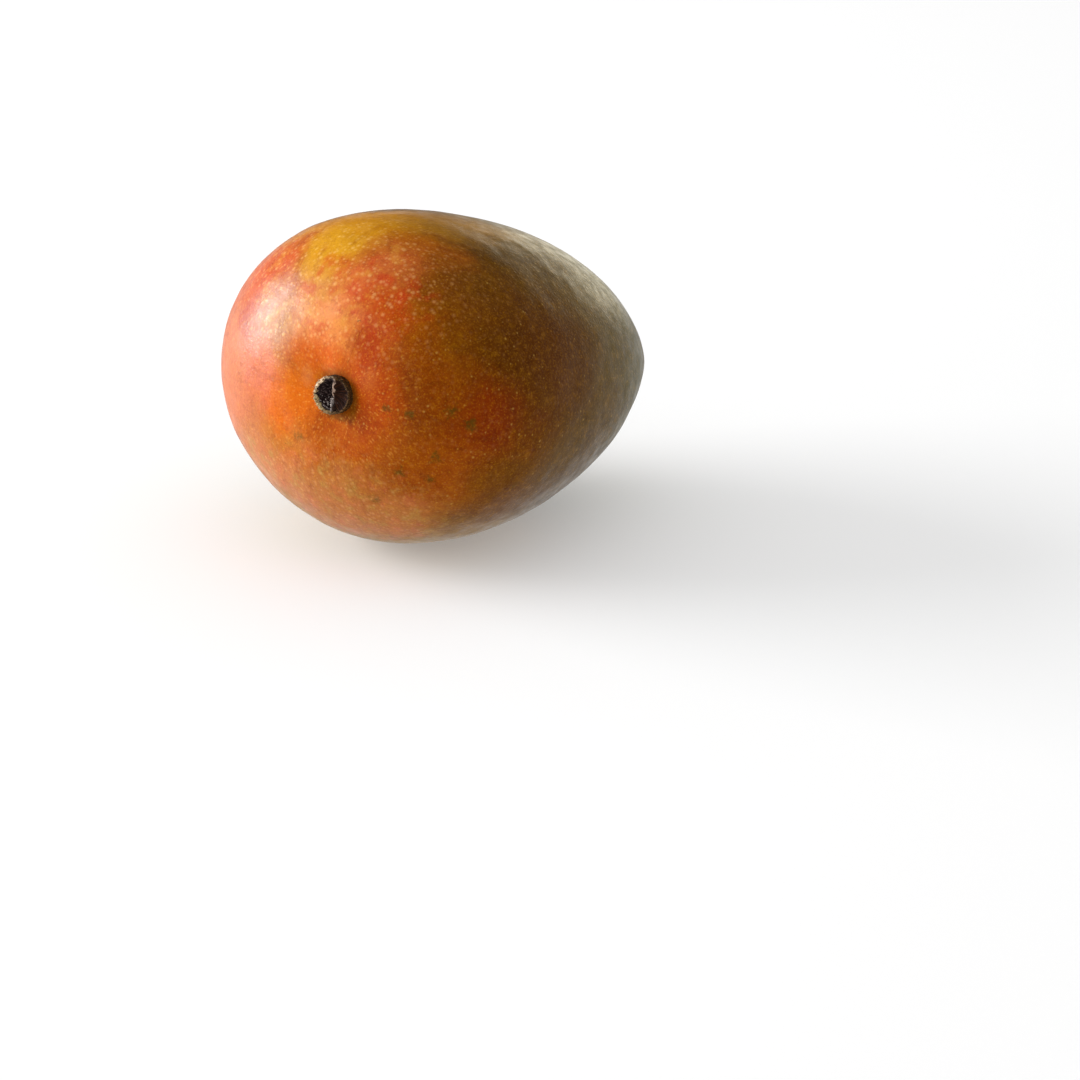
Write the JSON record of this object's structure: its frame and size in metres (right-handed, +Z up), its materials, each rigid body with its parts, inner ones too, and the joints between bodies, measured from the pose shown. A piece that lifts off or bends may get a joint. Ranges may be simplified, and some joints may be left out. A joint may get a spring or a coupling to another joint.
{
  "type": "mango",
  "caption": "Whole ripe mango lying on its flatter side: ovate body with a full back, a straighter belly with a low beak, and a broken stalk stub set in a shallow hollow.",
  "frame": {"origin": "under the middle of the whole part's box, on the surface that it lies on", "axes": "+X along the fruit from the stalk end to the tip, +Y towards its full back with the belly and beak at -Y, +Z up through its thickness"},
  "size_m": [0.107, 0.0884, 0.0738],
  "materials": {
    "skin": "waxy satin fruit skin, blushed orange and red at the stalk end, olive green at the back, with pale pores",
    "stalk": "rough dark broken wood with a pale corky rim"
  },
  "bodies": {
    "root": {"fruit": "skin", "stalk_stub": "stalk"}
  },
  "joints": []
}
